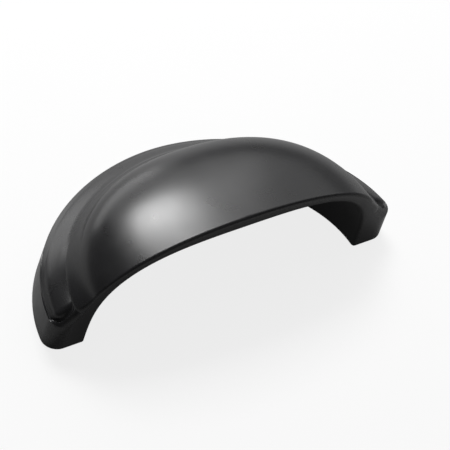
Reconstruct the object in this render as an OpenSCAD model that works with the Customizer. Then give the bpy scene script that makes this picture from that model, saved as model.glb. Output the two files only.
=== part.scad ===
// Cup pull for a drawer front, die cast in one piece and screwed on from behind.
// The mounting face lies on z = 0, +Z points out of the drawer, +Y up the drawer front.
// The origin is midway between the two screw holes, on the mounting face.

/* [Fixing] */
// Distance between the two screw holes
hole_spacing = 64; // [56:1:96]
// Radius of the drilled hole, before the thread is cut
hole_r = 1.65; // [1.2:0.05:2]
// Depth of the screw holes
hole_depth = 6.5; // [4:0.1:7]

/* [Overall] */
// How far the rim reaches past each screw hole
end_reach = 10.25; // [9:0.05:12]
// Height of the mounting face, from the open edge to the top of the rim
body_h = 34.3; // [30:0.1:46]
// How far the dome stands out of the drawer front
body_p = 26.1; // [22:0.1:34]

/* [Rim] */
// Height of the rim's side wall
rim_h = 7.6; // [5.5:0.1:8.5]
// How far the side wall leans in over its height
rim_draft = 0.16; // [0.1:0.02:0.8]
// Squareness of the rim's outline, where 2 is an ellipse
rim_n = 1.94; // [1.8:0.02:2.3]
// Corner radius of the feet, seen from the front
foot_r = 3.7; // [2:0.1:5]
// How much of that radius is gone at the inner side of the bead
corner_fade = 0.6; // [0.4:0.05:0.9]
// How far that corner leans with the bead's slope, from upright to square with it
corner_lean = 0.3; // [0:0.05:0.6]

/* [Bead] */
// Width of the sloping band that carries the bead, measured across the drawer front
band_w = 4.6; // [3.6:0.1:5.4]
// Rise of that band from the rim to the foot of the dome
band_rise = 3.7; // [2.5:0.1:4.5]
// How far the bead swells out of the band
bead_swell = 0.3; // [0.1:0.02:0.8]
// Place of the bead's crest, as a share of the band from its outer side
bead_crest = 0.48; // [0.4:0.02:0.6]
// Roundness of the bead's outer side, where 1 is a parabola and less is rounder
bead_outer_n = 0.8; // [0.6:0.05:1.2]
// Roundness of the bead's inner side
bead_inner_n = 1.4; // [0.8:0.05:1.8]
// Distance from the open edge to the groove round the bead's end
bead_end = 1.1; // [0.6:0.1:4]
// Width of the groove between the bead and the rim
groove_w = 0.6; // [0.4:0.05:1]
// Depth of that groove at the bead's end
groove_d = 0.42; // [0.1:0.02:0.6]
// How much of the groove's depth is gone further up the rim
groove_fade = 0.5; // [0:0.05:0.9]
// Length over which it gets shallower
groove_run = 16; // [6:1:24]

/* [Dome] */
// Distance from the rim's edge to the dome, without its flared foot
dome_back = 6.95; // [6.4:0.05:8]
// Height of the dome's flared foot
flare_h = 3.9; // [2.5:0.1:6]
// Ease of the flared foot, from a plain flare to a steep riser with a round shoulder
flare_ease = 1.5; // [1:0.1:2]
// Squareness of the dome's outline at its foot
foot_n = 1.88; // [1.7:0.02:2.2]
// Squareness of the dome's outline at its tip
lip_n = 2.7; // [2:0.05:3]
// Fullness of the arch along the lip
arch_n = 2.15; // [1.9:0.05:2.8]
// Fullness of the section through the middle
crown_n = 2.42; // [2:0.02:3]
// Rounding of the lip's outer edge
lip_r = 0.65; // [0.3:0.05:1.2]

/* [Hollow] */
// Width of each foot on the mounting face
foot_w = 8.8; // [8:0.1:10]
// Width of the rim on the mounting face at its top
rim_w = 6.1; // [5.8:0.1:9]
// Wall of the lip at its middle
lip_t = 3.3; // [2.4:0.1:5]
// Fullness of the finger space's arch
hollow_n = 3.2; // [2.6:0.1:3.6]
// Fullness of the finger space's section through the middle
hollow_crown = 2.5; // [2:0.1:2.8]
// Rounding of the lip's inner edge
hollow_r = 0.7; // [0.3:0.05:0.9]

/* [Hidden] */
coating = "#26272a";
// sections from the open edge past the bead's end, and from there to the top
foot_steps = 16;
foot_crowding = 1.3;
upper_steps = 20;
upper_crowding = 1.35;
// rings across each part of the profile
side_steps = 2;
band_steps = 19;
dome_steps = 19;
dome_crowding = 1.12;
tip_steps = 8;
// the dome's rings get closer together from this share of its width to its tip
tip_share = 0.22;
tip_crowding = 2;
// the finger space has one ring behind every so many of the outside
hollow_skip = 2;
// the casting runs this far below the mounting face before it is cut flat
trim = 1;
// margin of cutting solids past what they cut
over = 1;
hole_sides = 48;

half_w = hole_spacing / 2 + end_reach;
dome_inset = rim_draft + band_w;
dome_rise = body_p - rim_h - band_rise;
dome_a = half_w - dome_back;
dome_b = body_h - dome_back;
flare = dome_back - dome_inset;
flare_share = flare_h / dome_rise;
band_len = norm([band_w, band_rise]);
band_out = band_rise / band_len;
band_up = band_w / band_len;
bead_out = band_len * bead_crest - groove_w;
bead_in = band_len * (1 - bead_crest);
hollow_a = half_w - foot_w;
hollow_b = body_h - rim_w;
hollow_p = body_p - lip_t;
// the screw holes lie on the middle line of the rim
rim_mid_a = half_w - foot_w / 2;
rim_mid_b = body_h - rim_w / 2;
hole_y = rim_mid_b * sqrt(1 - pow(hole_spacing / 2 / rim_mid_a, 2));

function mix(a, b, t) = a + (b - a) * t;
function within(t) = min(1, max(0, t));
// the other coordinate of a unit superellipse
function arc(t, n) = pow(max(0, 1 - pow(t, n)), 1 / n);
// what a rounded edge of radius r takes off at distance y from the edge
function edge(y, r) = y >= r ? 0 : r - sqrt(r * r - (r - y) * (r - y));

// section angles, close together at the feet where the edges are rounded and the bead ends
foot_angle = asin((bead_end + 2 * groove_w + bead_out) / body_h);
half_angles = concat(
    [for (i = [0 : foot_steps]) foot_angle * pow(i / foot_steps, foot_crowding)],
    [for (i = [1 : upper_steps]) mix(foot_angle, 90, pow(i / upper_steps, upper_crowding))]);
angles = concat(half_angles, [for (i = [len(half_angles) - 2 : -1 : 0]) 180 - half_angles[i]]);

// A ring of the profile, from its place up the side wall, across the band and in the dome's width:
// [half width, height, z, squareness, normal out, normal up, edge radius, place across the band,
// share of the dome's width, z without the dome]
function ring(up_side, across, share) =
    let (h = arc(share, arch_n), climbed = min(1, h / flare_share), left = 1 - climbed,
         eased = 1 - pow(climbed, flare_ease),
         spread = flare * eased * eased + dome_inset - rim_draft * up_side - band_w * across,
         wide = pow(share, arch_n - 1), base = rim_h * up_side + band_rise * across,
         out = dome_rise * wide,
         slope = 2 * flare_ease * pow(climbed, flare_ease - 1) * eased / flare_share,
         up = dome_a * pow(h, arch_n - 1) + flare * slope * wide,
         l = norm([out, up]), lean = 1 - (1 - corner_lean * across) * left * left)
    [dome_a * share + spread, dome_b * arc(h, crown_n) + spread, base + dome_rise * h,
     mix(rim_n, foot_n, across) + (lip_n - foot_n) * h, mix(1, out / l, lean), up / l * lean,
     mix(lip_r, foot_r, (1 - corner_fade * across) * pow(left, 3)), across, share, base];

tip_angle = acos(pow(tip_share, arch_n / 2));
rings = concat(
    [for (i = [0 : side_steps]) ring(i / side_steps, 0, 1)],
    [for (i = [1 : band_steps]) ring(1, (1 - cos(180 * i / band_steps)) / 2, 1)],
    [for (i = [1 : dome_steps])
         ring(1, 1, pow(cos(tip_angle * pow(i / dome_steps, dome_crowding)), 2 / arch_n))],
    [for (i = [1 : tip_steps - 1]) ring(1, 1, tip_share * pow(1 - i / tip_steps, tip_crowding))]);

// the bead, and the groove that runs down its outer side and round its end
function relief(place, y) =
    let (across = (place - bead_crest) * band_len, in = max(0, across / bead_in),
         along = max(0, bead_end + groove_w + bead_out - y) / bead_out,
         reach = norm([in + max(0, -across / bead_out), along]),
         past = (reach - 1) * bead_out / groove_w,
         dip = max(0, 1 - pow(2 * past - 1, 2)) * max(0, 1 - in),
         depth = groove_d * (1 - groove_fade * within((y - bead_end) / groove_run)))
    bead_swell * pow(max(0, 1 - reach * reach), mix(bead_outer_n, bead_inner_n, within(in))) - depth * dip;

function outer_point(ring, f) =
    let (c = abs(cos(f)), s = sin(f), power = 2 / ring[3], y = ring[1] * pow(s, power),
         lift = relief(ring[7], y), cut = edge(y, ring[6]))
    [-sign(cos(f)) * (ring[0] * pow(c, power) + lift * band_out * c - cut * ring[4]),
     y + lift * band_out * s, ring[2] + lift * band_up - cut * ring[5]];

function inner_point(ring, f) =
    let (share = arc(ring[9] / hollow_p, hollow_n) * ring[8], h = arc(share, hollow_n),
         y = hollow_b * arc(h, hollow_crown) * sin(f), cut = edge(y, hollow_r),
         up = pow(h, hollow_n - 1) / hollow_p, out = pow(share, hollow_n - 1) / hollow_a,
         l = norm([up, out]))
    [-hollow_a * share * cos(f) - cut * out / l * sign(cos(f)), y, hollow_p * h + cut * up / l];

function drop(p) = [p[0], p[1], -trim];
outer = [for (f = angles) concat([drop(outer_point(rings[0], f))], [for (r = rings) outer_point(r, f)])];
hollow_rings = [for (k = [0 : len(rings) - 1]) if (k <= side_steps || k % hollow_skip == 0) k];
inner = [for (f = angles)
    concat([drop(inner_point(rings[0], f))], [for (k = hollow_rings) inner_point(rings[k], f)])];
cols = len(rings) + 1;
hollow_cols = len(hollow_rings) + 1;
rows = len(angles);
last = rows - 1;
// the column of the finger space that lies behind each column of the outside
behind = concat([for (k = [0 : cols - 1]) len([for (r = hollow_rings) if (r < k) r])], [hollow_cols]);

module casting() {
    points = concat(
        [for (line = outer) each line], [[0, 0, body_p - lip_r]],
        [for (line = inner) each line], [[0, 0, hollow_p + hollow_r]]);
    tip = rows * cols;
    inside = tip + 1;
    hollow_tip = inside + rows * hollow_cols;
    function o(i, k) = k == cols ? tip : i * cols + k;
    function n(i, k) = k == hollow_cols ? hollow_tip : inside + i * hollow_cols + k;
    faces = concat(
        // outside and finger space
        [for (i = [0 : last - 1], k = [0 : cols - 2]) each [
            [o(i, k), o(i, k + 1), o(i + 1, k + 1)], [o(i, k), o(i + 1, k + 1), o(i + 1, k)]]],
        [for (i = [0 : last - 1]) [o(i, cols - 1), tip, o(i + 1, cols - 1)]],
        [for (i = [0 : last - 1], k = [0 : hollow_cols - 2]) each [
            [n(i, k), n(i + 1, k + 1), n(i, k + 1)], [n(i, k), n(i + 1, k), n(i + 1, k + 1)]]],
        [for (i = [0 : last - 1]) [n(i, hollow_cols - 1), n(i + 1, hollow_cols - 1), hollow_tip]],
        // back, then the two halves of the open edge
        [for (i = [0 : last - 1]) each [
            [o(i, 0), o(i + 1, 0), n(i + 1, 0)], [o(i, 0), n(i + 1, 0), n(i, 0)]]],
        [for (k = [0 : cols - 1]) [o(0, k), n(0, behind[k]), o(0, k + 1)]],
        [for (k = [0 : cols - 1]) if (behind[k + 1] > behind[k])
            [n(0, behind[k]), n(0, behind[k + 1]), o(0, k + 1)]],
        [for (k = [0 : cols - 1]) [o(last, k), o(last, k + 1), n(last, behind[k])]],
        [for (k = [0 : cols - 1]) if (behind[k + 1] > behind[k])
            [n(last, behind[k]), o(last, k + 1), n(last, behind[k + 1])]]);
    polyhedron(points = points, faces = faces, convexity = 6);
}

module body() {
    color(coating)
        translate([0, -hole_y, 0])
            difference() {
                casting();
                // flat mounting face
                translate([-half_w - over, -over, -trim - over])
                    cube([2 * (half_w + over), body_h + 2 * over, trim + over]);
                // tapped holes
                for (side = [-1, 1])
                    translate([side * hole_spacing / 2, hole_y, -over])
                        cylinder(r = hole_r, h = hole_depth + over, $fn = hole_sides);
            }
}

body();
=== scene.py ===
import bpy
import math
from mathutils import Matrix, Vector


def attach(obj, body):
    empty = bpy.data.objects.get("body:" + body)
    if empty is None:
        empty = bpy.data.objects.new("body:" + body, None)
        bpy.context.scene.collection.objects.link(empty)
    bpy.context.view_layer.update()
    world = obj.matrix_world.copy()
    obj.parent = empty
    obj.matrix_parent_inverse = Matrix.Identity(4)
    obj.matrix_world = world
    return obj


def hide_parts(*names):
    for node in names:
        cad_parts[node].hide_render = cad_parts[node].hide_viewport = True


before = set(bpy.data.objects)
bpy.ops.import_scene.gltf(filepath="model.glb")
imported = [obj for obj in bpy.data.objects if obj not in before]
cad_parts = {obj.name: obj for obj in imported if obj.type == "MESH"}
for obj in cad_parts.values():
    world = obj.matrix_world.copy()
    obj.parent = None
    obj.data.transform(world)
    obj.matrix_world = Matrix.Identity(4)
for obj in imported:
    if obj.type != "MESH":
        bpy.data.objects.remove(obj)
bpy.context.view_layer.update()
scene = bpy.context.scene
print("frame loaded")


class Field:  # a number that varies over a mesh, held as a node's output
    def __init__(self, tree, socket):
        self.tree = tree
        self.socket = socket

    def math(self, operation, *values):
        node = self.tree.nodes.new("ShaderNodeMath")
        node.operation = operation
        for slot, value in zip(node.inputs, values):
            plug(self.tree, value, slot)
        return Field(self.tree, node.outputs[0])

    def __add__(self, other):
        return self.math("ADD", self, other)

    def __radd__(self, other):
        return self.math("ADD", other, self)

    def __sub__(self, other):
        return self.math("SUBTRACT", self, other)

    def __rsub__(self, other):
        return self.math("SUBTRACT", other, self)

    def __mul__(self, other):
        return self.math("MULTIPLY", self, other)

    def __rmul__(self, other):
        return self.math("MULTIPLY", other, self)

    def __truediv__(self, other):
        return self.math("DIVIDE", self, other)

    def __rtruediv__(self, other):
        return self.math("DIVIDE", other, self)

    def __pow__(self, other):
        return self.math("POWER", self, other)

    def __neg__(self):
        return self.math("MULTIPLY", self, -1.0)

    def atLeast(self, other):
        return self.math("MAXIMUM", self, other)

    def atMost(self, other):
        return self.math("MINIMUM", self, other)

    def clamped(self):
        return self.atLeast(0.0).atMost(1.0)

    def root(self):
        return self.math("SQRT", self)

    def size(self):
        return self.math("ABSOLUTE", self)

    def sign(self):
        return self.math("SIGN", self)

    def sine(self):
        return self.math("SINE", self)

    def cosine(self):
        return self.math("COSINE", self)

    def whole(self):
        return self.math("ROUND", self)

    def fraction(self):
        return self.math("FRACT", self)

    def below(self, other):
        return self.math("LESS_THAN", self, other)


def plug(tree, value, slot):
    if isinstance(value, Field):
        tree.links.new(value.socket, slot)
    elif isinstance(value, bpy.types.NodeSocket):
        tree.links.new(value, slot)
    else:
        slot.default_value = value


def addNode(tree, kind, values=None, **settings):
    node = tree.nodes.new(kind)
    for name, value in settings.items():
        setattr(node, name, value)
    for name, value in (values or {}).items():
        plug(tree, value, node.inputs[name])
    return node


def newTree(name, kind, inputs, outputs):
    tree = bpy.data.node_groups.new(name, kind)
    for label, socketType, value in inputs:
        socket = tree.interface.new_socket(name=label, in_out="INPUT", socket_type=socketType)
        if value is not None:
            socket.default_value = value
    for label, socketType in outputs:
        tree.interface.new_socket(name=label, in_out="OUTPUT", socket_type=socketType)
    return tree, tree.nodes.new("NodeGroupInput"), tree.nodes.new("NodeGroupOutput")


def mix(a, b, t):
    return a + (b - a) * t


def arc(t, fullness):  # the other coordinate of a unit superellipse
    return (1.0 - t ** fullness).atLeast(0.0) ** (1.0 / fullness)


def roundedEdge(distance, radius):  # what a rounded edge takes off at a distance from it
    short = (radius - distance).atLeast(0.0)
    return radius - (radius * radius - short * short).atLeast(0.0).root()


# lengths in millimetres
pull = {
    "holeSpacing": 64.0,
    "endReach": 10.25,
    "bodyHeight": 34.3,
    "bodyDepth": 26.1,
    "rimHeight": 7.6,
    "rimDraft": 0.16,
    "footRadius": 3.7,
    "cornerFade": 0.6,
    "cornerLean": 0.3,
    "rimSquareness": 1.94,
    "bandWidth": 4.6,
    "bandRise": 3.7,
    "beadSwell": 0.65,
    "beadFade": 0.9,
    "beadCrest": 0.42,
    "beadOuterRound": 0.8,
    "beadInnerRound": 1.0,
    "grooveWidth": 1.15,
    "grooveDepth": 0.7,
    "grooveEdge": 0.07,
    "grooveEndEdge": 0.5,
    "grooveFade": 1.0,
    "beadEnd": 1.1,
    "grooveRun": 18.0,
    "domeBack": 6.95,
    "flareHeight": 3.9,
    "flareEase": 1.2,
    "coveRun": 1.8,
    "coveFill": 0.3,
    "coveOut": 0.8,
    "coveUp": 0.6,
    "footSquareness": 1.88,
    "lipSquareness": 2.7,
    "archFullness": 2.15,
    "crownFullness": 2.42,
    "lipRadius": 0.65,
    "footWidth": 8.8,
    "rimWidth": 6.1,
    "lipThickness": 3.3,
    "hollowFullness": 3.2,
    "hollowCrown": 2.5,
    "hollowRadius": 0.7,
    "holeRadius": 1.65,
    "holeDepth": 6.5,
    "threadDepth": 0.33,
    "threadPitch": 0.7,
    "mouthRadius": 2.3,
}
mesh = {
    "sections": 200,
    "stations": 150,
    "wallSteps": 6,
    "sideEnd": 0.04,
    "bandEnd": 0.45,
    "crowding": 2.1,
    "evenShare": 0.1,
    "tipCrowding": 1.6,
    "footCrowding": 1.3,
    "weld": 0.0004,
    "threadSides": 48,
    "threadTurnSteps": 12,
    "cutterReach": 1.0,
    "sharpAngle": 40.0,
    "millimetre": 0.001,
}
# where the coat is worn by hands
wear = {
    "edgeReach": 1.6,
    "beadShare": 0.35,
    "beadSharpness": 6.0,
}


def makePointRule():  # where a point of the casting lies, from its section, station and depth in the wall
    places = ["side", "cosHalf", "sinHalf", "station", "wall"]
    inputs = [(name, "NodeSocketFloat", value) for name, value in pull.items()]
    inputs += [(name, "NodeSocketFloat", 0.0) for name in places]
    outputs = [("Position", "NodeSocketVector"), ("edge", "NodeSocketFloat"), ("hollow", "NodeSocketFloat")]
    tree, source, target = newTree("castingPoint", "GeometryNodeTree", inputs, outputs)
    s = {name: Field(tree, source.outputs[name]) for name in list(pull) + places}
    onSide = (s["station"] / mesh["sideEnd"]).clamped()
    onBand = ((s["station"] - mesh["sideEnd"]) / (mesh["bandEnd"] - mesh["sideEnd"])).clamped()
    onBand = (1.0 - (onBand * math.pi).cosine()) / 2.0
    onDome = ((s["station"] - mesh["bandEnd"]) / (1.0 - mesh["bandEnd"])).clamped()
    halfWidth = s["holeSpacing"] / 2.0 + s["endReach"]
    bandTop = s["rimHeight"] + s["bandRise"]
    domeRise = s["bodyDepth"] - bandTop
    domeInset = s["rimDraft"] + s["bandWidth"]
    domeHalf = halfWidth - s["domeBack"]
    domeHeight = s["bodyHeight"] - s["domeBack"]
    flare = s["domeBack"] - domeInset
    flareShare = s["flareHeight"] / domeRise
    bandLength = (s["bandWidth"] * s["bandWidth"] + s["bandRise"] * s["bandRise"]).root()
    bandOut = s["bandRise"] / bandLength
    bandUp = s["bandWidth"] / bandLength
    beadOuter = bandLength * s["beadCrest"] - s["grooveWidth"]
    beadInner = bandLength * (1.0 - s["beadCrest"])
    # the ring this station lies on
    turn = mix(1.0 - (1.0 - onDome) ** mesh["tipCrowding"], onDome ** mesh["footCrowding"], 1.0 - onDome)
    turn = turn * (math.pi / 2)
    share = turn.cosine().atLeast(0.0) ** (2.0 / s["archFullness"])
    lift = arc(share, s["archFullness"])
    climbed = (lift / flareShare).atMost(1.0)
    flareLeft = 1.0 - climbed
    flareOut = 1.0 - climbed ** s["flareEase"]
    inset = s["rimDraft"] * onSide + s["bandWidth"] * onBand
    spread = flare * flareOut * flareOut + domeInset - inset
    ringHalf = domeHalf * share + spread
    ringHeight = domeHeight * arc(lift, s["crownFullness"]) + spread
    ringBase = s["rimHeight"] * onSide + s["bandRise"] * onBand
    ringOut = ringBase + domeRise * lift
    squareness = s["rimSquareness"] + (s["footSquareness"] - s["rimSquareness"]) * onBand
    squareness = squareness + (s["lipSquareness"] - s["footSquareness"]) * lift
    wide = share ** (s["archFullness"] - 1.0)
    domeOut = domeRise * wide
    domeUp = domeHalf * lift ** (s["archFullness"] - 1.0) + flare * 2.0 / flareShare * flareLeft * wide
    domeSlope = (domeUp * domeUp + domeOut * domeOut).root()
    leaning = 1.0 - (1.0 - s["cornerLean"] * onBand) * flareLeft * flareLeft
    normalOut = mix(1.0, domeOut / domeSlope, leaning)
    normalUp = domeUp / domeSlope * leaning
    radius = mix(s["lipRadius"], s["footRadius"], (1.0 - s["cornerFade"] * onBand) * flareLeft ** 3.0)
    # outside, with the bead in its groove
    y = ringHeight * s["sinHalf"] ** (2.0 / squareness)
    across = (onBand - s["beadCrest"]) * bandLength
    inner = (across / beadInner).atLeast(0.0)
    outer = (-across / beadOuter).atLeast(0.0)
    along = (s["beadEnd"] + s["grooveWidth"] + beadOuter - y).atLeast(0.0) / beadOuter
    reach = ((inner + outer) ** 2.0 + along * along).root()
    fullness = mix(s["beadOuterRound"], s["beadInnerRound"], inner.atMost(1.0))
    swell = (1.0 - reach * reach).atLeast(0.0) ** fullness
    past = (reach - 1.0) * beadOuter / s["grooveWidth"]
    atEnd = along.atMost(1.0)
    wallShare = mix(s["grooveEdge"], s["grooveEndEdge"], atEnd)
    dip = (past / (1.0 - wallShare)).atMost((1.0 - past) / wallShare).atLeast(0.0)
    dip = mix(dip, (past * (1.0 - past) * 4.0).atLeast(0.0), atEnd)  # round at the bead's end
    dip = dip * (1.0 - inner ** 4.0).atLeast(0.0)
    upward = ((y - s["beadEnd"]) / s["grooveRun"]).clamped()
    swell = swell * (1.0 - s["beadFade"] * upward)
    dip = dip * (1.0 - s["grooveFade"] * upward)
    relief = s["beadSwell"] * swell - s["grooveDepth"] * dip
    # soft corner between bead and dome
    fromCorner = (1.0 - onBand) * bandLength + domeRise * lift
    cove = s["coveFill"] * (1.0 - fromCorner / s["coveRun"]).atLeast(0.0) ** 2.0 * upward
    bulge = relief * bandOut + cove * s["coveOut"]
    cut = roundedEdge(y, radius)
    outX = ringHalf * s["cosHalf"] ** (2.0 / squareness) + bulge * s["cosHalf"] - cut * normalOut
    outY = y + bulge * s["sinHalf"]
    outZ = ringOut + relief * bandUp + cove * s["coveUp"] - cut * normalUp
    # finger space
    hollowHalf = halfWidth - s["footWidth"]
    hollowHeight = s["bodyHeight"] - s["rimWidth"]
    hollowDepth = s["bodyDepth"] - s["lipThickness"]
    hollowShare = arc(ringBase / hollowDepth, s["hollowFullness"]) * share
    hollowLift = arc(hollowShare, s["hollowFullness"])
    inY = hollowHeight * arc(hollowLift, s["hollowCrown"]) * s["sinHalf"]
    hollowUp = hollowLift ** (s["hollowFullness"] - 1.0) / hollowDepth
    hollowOut = hollowShare ** (s["hollowFullness"] - 1.0) / hollowHalf
    hollowLength = (hollowUp * hollowUp + hollowOut * hollowOut).root()
    hollowCut = roundedEdge(inY, s["hollowRadius"])
    inX = hollowHalf * hollowShare * s["cosHalf"] + hollowCut * hollowOut / hollowLength
    inZ = hollowDepth * hollowLift + hollowCut * hollowUp / hollowLength
    # the screw holes lie on the middle line of the rim, and the origin is between them
    middleHalf = halfWidth - s["footWidth"] / 2.0
    middleHeight = s["bodyHeight"] - s["rimWidth"] / 2.0
    holeY = middleHeight * (1.0 - (s["holeSpacing"] / 2.0 / middleHalf) ** 2.0).root()
    x = -s["side"] * mix(outX, inX, s["wall"])
    place = addNode(tree, "ShaderNodeCombineXYZ", {"X": x, "Y": mix(outY, inY, s["wall"]) - holeY,
                                                   "Z": mix(outZ, inZ, s["wall"])})
    tree.links.new(place.outputs[0], target.inputs["Position"])
    # where hands and cloths touch it, and where the coat is thin and dry
    onBead = swell ** wear["beadSharpness"] * wear["beadShare"]
    touched = (1.0 - y / (radius * wear["edgeReach"])).atLeast(0.0).atLeast(onBead)
    touchedIn = (1.0 - inY / (s["hollowRadius"] * wear["edgeReach"])).atLeast(0.0)
    edge = mix(touched, touchedIn, s["wall"]) * (s["wall"] * 2.0 - 1.0) ** 4.0
    tree.links.new(edge.socket, target.inputs["edge"])
    tree.links.new(s["wall"].socket, target.inputs["hollow"])
    return tree


def makePull(coating):
    inputs = [("Geometry", "NodeSocketGeometry", None)]
    inputs += [(name, "NodeSocketFloat", value) for name, value in pull.items()]
    inputs += [("coating", "NodeSocketMaterial", None)]
    outputs = [("Geometry", "NodeSocketGeometry")]
    tree, source, target = newTree("cupPull", "GeometryNodeTree", inputs, outputs)
    rule = makePointRule()
    links = tree.links
    position = addNode(tree, "ShaderNodeSeparateXYZ",
                       {"Vector": addNode(tree, "GeometryNodeInputPosition").outputs[0]})
    px, py, pz = (Field(tree, socket) for socket in position.outputs)
    stations, wallSteps = mesh["stations"], mesh["wallSteps"]

    def grid(stepsX, stepsY):
        values = {"Size X": 1.0, "Size Y": 1.0, "Vertices X": stepsX + 1, "Vertices Y": stepsY + 1}
        return addNode(tree, "GeometryNodeMeshGrid", values).outputs["Mesh"]

    def shaped(geometry, **places):
        point = addNode(tree, "GeometryNodeGroup", node_tree=rule)
        for name in pull:
            links.new(source.outputs[name], point.inputs[name])
        for name, value in places.items():
            plug(tree, value, point.inputs[name])
        for name in ("edge", "hollow"):
            values = {"Geometry": geometry, "Name": name, "Value": point.outputs[name]}
            geometry = addNode(tree, "GeometryNodeStoreNamedAttribute", values).outputs[0]
        values = {"Geometry": geometry, "Position": point.outputs["Position"]}
        return addNode(tree, "GeometryNodeSetPosition", values).outputs[0]

    # outside, finger space and back in one run of stations
    run = 2 * stations + 1 + wallSteps
    step = ((py + 0.5) * float(run)).whole()
    along = step.atMost(2.0 * stations + 1.0 - step).atLeast(0.0)
    onBack = (step - (2.0 * stations + 1.0)).atLeast(0.0) / wallSteps
    wall = (step - float(stations)).clamped().atMost(1.0 - onBack)
    half = 1.0 - (px * 2.0).size()
    angle = mix(half ** mesh["crowding"], half, mesh["evenShare"]) * (math.pi / 2)
    gap = ((py + 0.5) * float(run) - (stations + 0.5)).size().below(0.25)
    sheet = {"Geometry": grid(mesh["sections"], run), "Selection": gap}
    skin = addNode(tree, "GeometryNodeDeleteGeometry", sheet, domain="FACE").outputs[0]
    skin = shaped(skin, side=(-px).sign(), cosHalf=angle.cosine().atLeast(0.0),
                  sinHalf=angle.sine().atLeast(0.0), station=along / float(stations), wall=wall)
    skin = addNode(tree, "GeometryNodeFlipFaces", {"Mesh": skin}).outputs[0]
    # the two halves of the open edge
    feet = []
    for side in (1.0, -1.0):
        foot = shaped(grid(wallSteps, stations), side=side, cosHalf=1.0, sinHalf=0.0,
                      station=((py + 0.5) * float(stations)).whole() / float(stations),
                      wall=((px + 0.5) * float(wallSteps)).whole() / float(wallSteps))
        feet.append(foot)
    feet[1] = addNode(tree, "GeometryNodeFlipFaces", {"Mesh": feet[1]}).outputs[0]
    joined = addNode(tree, "GeometryNodeJoinGeometry")
    for part in [skin] + feet:
        links.new(part, joined.inputs[0])
    welded = {"Geometry": joined.outputs[0], "Distance": mesh["weld"]}
    casting = addNode(tree, "GeometryNodeMergeByDistance", welded).outputs[0]
    # threads
    sizes = {name: Field(tree, source.outputs[name]) for name in pull}
    sideSteps = int(pull["holeDepth"] / pull["threadPitch"] * mesh["threadTurnSteps"])
    cutter = {"Vertices": mesh["threadSides"], "Side Segments": sideSteps, "Radius": 1.0,
              "Depth": sizes["holeDepth"] + mesh["cutterReach"]}
    tap = addNode(tree, "GeometryNodeMeshCylinder", cutter, fill_type="TRIANGLE_FAN").outputs["Mesh"]
    z = pz + (sizes["holeDepth"] - mesh["cutterReach"]) / 2.0
    turns = z / sizes["threadPitch"] - px.math("ARCTAN2", py, px) / (2 * math.pi)
    crest = 1.0 - (turns.fraction() * 2.0 - 1.0).size()
    bore = (sizes["holeRadius"] + sizes["threadDepth"] * crest).atLeast(sizes["mouthRadius"] - z)
    bore = bore.atMost(sizes["mouthRadius"])
    threadPoint = addNode(tree, "ShaderNodeCombineXYZ", {"X": px * bore, "Y": py * bore, "Z": z})
    threaded = {"Geometry": tap, "Position": threadPoint.outputs[0]}
    tap = addNode(tree, "GeometryNodeSetPosition", threaded).outputs[0]
    first = addNode(tree, "ShaderNodeCombineXYZ", {"X": -sizes["holeSpacing"] / 2.0})
    gapAcross = addNode(tree, "ShaderNodeCombineXYZ", {"X": sizes["holeSpacing"]})
    pair = {"Count": 2, "Start Location": first.outputs[0], "Offset": gapAcross.outputs[0]}
    line = addNode(tree, "GeometryNodeMeshLine", pair).outputs[0]
    taps = addNode(tree, "GeometryNodeInstanceOnPoints", {"Points": line, "Instance": tap}).outputs[0]
    taps = addNode(tree, "GeometryNodeRealizeInstances", {"Geometry": taps}).outputs[0]
    drilled = addNode(tree, "GeometryNodeMeshBoolean", {"Mesh 1": casting, "Mesh 2": taps},
                      operation="DIFFERENCE", solver="MANIFOLD").outputs[0]
    scaled = {"Geometry": drilled, "Scale": [mesh["millimetre"]] * 3}
    metres = addNode(tree, "GeometryNodeTransform", scaled).outputs[0]
    whole = addNode(tree, "GeometryNodeRealizeInstances", {"Geometry": metres}).outputs[0]
    painted = {"Geometry": whole, "Material": source.outputs["coating"]}
    links.new(addNode(tree, "GeometryNodeSetMaterial", painted).outputs[0], target.inputs["Geometry"])

    carrier = bpy.data.objects.new("cupPullRule", bpy.data.meshes.new("cupPullRule"))
    scene.collection.objects.link(carrier)
    modifier = carrier.modifiers.new("cupPull", "NODES")
    modifier.node_group = tree
    for item in tree.interface.items_tree:
        if item.in_out == "INPUT" and item.name in pull:
            modifier[item.identifier] = pull[item.name]
        elif item.in_out == "INPUT" and item.name == "coating":
            modifier[item.identifier] = coating
    graph = bpy.context.evaluated_depsgraph_get()
    made = bpy.data.meshes.new_from_object(carrier.evaluated_get(graph), preserve_all_data_layers=True,
                                           depsgraph=graph)
    bpy.data.objects.remove(carrier)
    made.name = "pull"
    made.polygons.foreach_set("use_smooth", [True] * len(made.polygons))
    made.set_sharp_from_angle(angle=math.radians(mesh["sharpAngle"]))
    piece = bpy.data.objects.new("pull", made)
    scene.collection.objects.link(piece)
    return piece


# satin black powder coat, lengths in metres
coat = {
    "color": (0.010, 0.010, 0.0108, 1.0),
    "paleColor": (0.014, 0.014, 0.0150, 1.0),
    "rubbedColor": (0.030, 0.030, 0.032, 1.0),
    "specular": 0.5,
    "roughness": 0.29,
    "roughnessSpread": 0.035,
    "hollowRoughness": 0.16,
    "rubbedPolish": 0.06,
    "patchSize": 0.007,
    "patchDetail": 3.0,
    "patchContrast": 1.8,
    "peelSize": 0.0014,
    "peelHeight": 0.0000010,
    "grainSize": 0.00035,
    "grainHeight": 0.00000012,
    "rubSize": 0.0011,
    "rubDetail": 3.0,
    "rubContrast": 3.0,
    "rubAmount": 0.55,
}


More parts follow.
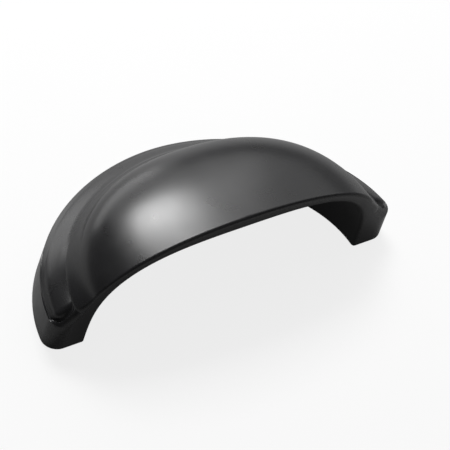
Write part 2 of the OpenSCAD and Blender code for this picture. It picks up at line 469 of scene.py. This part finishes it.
def makeGrain():  # soft blotches of one size, from 0 to 1
    inputs = [("Vector", "NodeSocketVector", None), ("Size", "NodeSocketFloat", 0.001),
              ("Detail", "NodeSocketFloat", 2.0), ("Contrast", "NodeSocketFloat", 1.0)]
    tree, source, target = newTree("coatGrain", "ShaderNodeTree", inputs, [("Value", "NodeSocketFloat")])
    s = {name: Field(tree, source.outputs[name]) for name in ("Size", "Contrast")}
    values = {"Vector": source.outputs["Vector"], "Scale": 1.0 / s["Size"],
              "Detail": source.outputs["Detail"], "Roughness": 0.5}
    noise = addNode(tree, "ShaderNodeTexNoise", values)
    value = (0.5 + (Field(tree, noise.outputs[0]) - 0.5) * s["Contrast"]).clamped()
    tree.links.new(value.socket, target.inputs["Value"])
    return tree


grain = makeGrain()


def addGrain(tree, size, detail=2.0, contrast=1.0):
    place = addNode(tree, "ShaderNodeTexCoord").outputs["Object"]
    spots = addNode(tree, "ShaderNodeGroup", node_tree=grain)
    for name, value in (("Vector", place), ("Size", size), ("Detail", detail), ("Contrast", contrast)):
        plug(tree, value, spots.inputs[name])
    return Field(tree, spots.outputs["Value"])


def blend(tree, first, second, share):
    node = addNode(tree, "ShaderNodeMix", data_type="RGBA")
    for slot, value in zip((node.inputs[0], node.inputs[6], node.inputs[7]), (share, first, second)):
        plug(tree, value, slot)
    return node.outputs[2]


def attribute(tree, name):
    return Field(tree, addNode(tree, "ShaderNodeAttribute", attribute_name=name).outputs["Fac"])


def makeCoating():
    material = bpy.data.materials.new("coating")
    material.use_nodes = True
    tree = material.node_tree
    shader = tree.nodes["Principled BSDF"]
    shader.inputs["Specular IOR Level"].default_value = coat["specular"]
    patches = addGrain(tree, coat["patchSize"], coat["patchDetail"], coat["patchContrast"])
    rubs = addGrain(tree, coat["rubSize"], coat["rubDetail"], coat["rubContrast"])
    peel = addGrain(tree, coat["peelSize"])
    fine = addGrain(tree, coat["grainSize"])
    hollow = attribute(tree, "hollow")
    rubbed = attribute(tree, "edge") * rubs * coat["rubAmount"]
    color = blend(tree, coat["color"], coat["paleColor"], patches)
    color = blend(tree, color, coat["rubbedColor"], rubbed)
    plug(tree, color, shader.inputs["Base Color"])
    roughness = coat["roughness"] + (patches - 0.5) * (2.0 * coat["roughnessSpread"])
    roughness = roughness + hollow * coat["hollowRoughness"] - rubbed * coat["rubbedPolish"]
    plug(tree, roughness, shader.inputs["Roughness"])
    height = peel * coat["peelHeight"] + fine * coat["grainHeight"]
    bump = addNode(tree, "ShaderNodeBump", {"Strength": 1.0, "Distance": 1.0, "Height": height})
    plug(tree, bump.outputs[0], shader.inputs["Normal"])
    return material


coating = makeCoating()
body = makePull(coating)
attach(body, "root")
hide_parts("body")
print("pull made", len(body.data.vertices), "points", len(body.data.polygons), "faces")

# floor
ground = {
    "color": (0.80, 0.80, 0.80, 1.0),
    "paleColor": (0.84, 0.84, 0.84, 1.0),
    "dim": (0.30, 0.30, 0.30, 1.0),
    "mottleSize": 0.06,
    "mottleDetail": 3.0,
    "roughness": 0.9,
    "glow": 0.82,
    "mirrored": 0.1,
    # the floor's glow seen in reflections rises behind the pull: a painted reflection on its walls
    "paintedReflectionBehind": 0.5,
    "paintedReflectionReach": 0.05,
    "half": 3.0,
    "drop": 0.0001,
}


def makeFloor():
    half, level = ground["half"], -ground["drop"]
    plane = bpy.data.meshes.new("floor")
    corners = [(x * half, y * half, level) for x, y in ((-1, -1), (1, -1), (1, 1), (-1, 1))]
    plane.from_pydata(corners, [], [(0, 1, 2, 3)])
    material = bpy.data.materials.new("floor")
    material.use_nodes = True
    tree = material.node_tree
    shader = tree.nodes["Principled BSDF"]
    mottle = addGrain(tree, ground["mottleSize"], ground["mottleDetail"])
    path = addNode(tree, "ShaderNodeLightPath")
    pale = blend(tree, ground["color"], ground["paleColor"], mottle)
    plug(tree, blend(tree, ground["dim"], pale, path.outputs["Is Camera Ray"]), shader.inputs["Base Color"])
    shader.inputs["Roughness"].default_value = ground["roughness"]
    shader.inputs["Specular IOR Level"].default_value = 0.0
    # painted reflection: for glossy rays the floor glows brighter behind the pull, which lightens the
    # pull's walls that face it
    spot = addNode(tree, "ShaderNodeTexCoord").outputs["Object"]
    place = addNode(tree, "ShaderNodeSeparateXYZ", {"Vector": spot})
    paintedReflectionShare = (Field(tree, place.outputs["Y"]) / ground["paintedReflectionReach"]).clamped()
    mirrored = mix(ground["mirrored"], ground["paintedReflectionBehind"], paintedReflectionShare)
    seen = Field(tree, path.outputs["Is Camera Ray"])
    for name in ("Is Glossy Ray", "Is Transmission Ray"):
        seen = seen.atLeast(Field(tree, path.outputs[name]) * mirrored)
    white = addNode(tree, "ShaderNodeEmission", {"Strength": 1.0})
    surface = addNode(tree, "ShaderNodeMixShader", {"Fac": seen * ground["glow"]})
    plug(tree, shader.outputs[0], surface.inputs[1])
    plug(tree, white.outputs[0], surface.inputs[2])
    plug(tree, surface.outputs[0], tree.nodes["Material Output"].inputs["Surface"])
    plane.materials.append(material)
    piece = bpy.data.objects.new("floor", plane)
    scene.collection.objects.link(piece)
    return piece


makeFloor()
print("floor made")

# softboxes, azimuth from the top of the pull toward its right end
lamps = {
    "key": {"azimuth": 9.0, "elevation": 54.5, "width": 0.20, "height": 0.19, "power": 2.1},
    "halo": {"azimuth": 14.0, "elevation": 44.0, "width": 0.47, "height": 0.47, "power": 0.8},
    "low": {"azimuth": 0.0, "elevation": 10.0, "width": 0.38, "height": 0.15, "power": 0.44},
    "fill": {"azimuth": 62.0, "elevation": 42.0, "width": 0.42, "height": 0.42, "power": 0.45},
}
studio = {
    "lampDistance": 0.5,
    "horizon": (0.4, 0.4, 0.4, 1.0),
    "overhead": (0.08, 0.08, 0.08, 1.0),
    "horizonReach": 0.15,
}


def makeLamp(name, values):
    light = bpy.data.lights.new(name, "AREA")
    light.shape = "RECTANGLE"
    light.size = values["width"]
    light.size_y = values["height"]
    light.energy = values["power"]
    lamp = bpy.data.objects.new(name, light)
    a, e = math.radians(values["azimuth"]), math.radians(values["elevation"])
    toward = Vector((math.sin(a) * math.cos(e), math.cos(a) * math.cos(e), math.sin(e)))
    lamp.location = toward * studio["lampDistance"]
    lamp.rotation_mode = "QUATERNION"
    lamp.rotation_quaternion = toward.to_track_quat("Z", "Y")
    scene.collection.objects.link(lamp)


def makeWorld():
    world = bpy.data.worlds.new("studio")
    world.use_nodes = True
    tree = world.node_tree
    direction = addNode(tree, "ShaderNodeTexCoord").outputs["Generated"]
    way = addNode(tree, "ShaderNodeSeparateXYZ", {"Vector": direction})
    height = (Field(tree, way.outputs["Z"]) / studio["horizonReach"]).clamped()
    color = blend(tree, studio["overhead"], studio["horizon"], (1.0 - height) ** 2.0)
    plug(tree, color, tree.nodes["Background"].inputs["Color"])
    return world


for name, values in lamps.items():
    makeLamp(name, values)
scene.world = makeWorld()
print("lamps made")

# camera
view = {
    "aim": (0.003834, -0.007237, 0.010),
    "azimuth": -46.921,
    "elevation": 50.261,
    "roll": 20.559,
    "distance": 0.72325,
    "lens": 277.02,
    "sensor": 36.0,
    "clipStart": 0.01,
    "clipEnd": 20.0,
}


def makeCamera():
    camera = bpy.data.cameras.new("camera")
    camera.lens = view["lens"]
    camera.sensor_width = view["sensor"]
    camera.clip_start = view["clipStart"]
    camera.clip_end = view["clipEnd"]
    piece = bpy.data.objects.new("camera", camera)
    a, e = math.radians(view["azimuth"]), math.radians(view["elevation"])
    back = Vector((math.sin(a) * math.cos(e), -math.cos(a) * math.cos(e), math.sin(e)))
    turn = back.to_track_quat("Z", "Y").to_matrix() @ Matrix.Rotation(math.radians(view["roll"]), 3, "Z")
    piece.location = Vector(view["aim"]) + back * view["distance"]
    piece.rotation_mode = "QUATERNION"
    piece.rotation_quaternion = turn.to_quaternion()
    scene.collection.objects.link(piece)
    return piece


scene.camera = makeCamera()
scene.view_settings.view_transform = "Standard"
print("camera made")
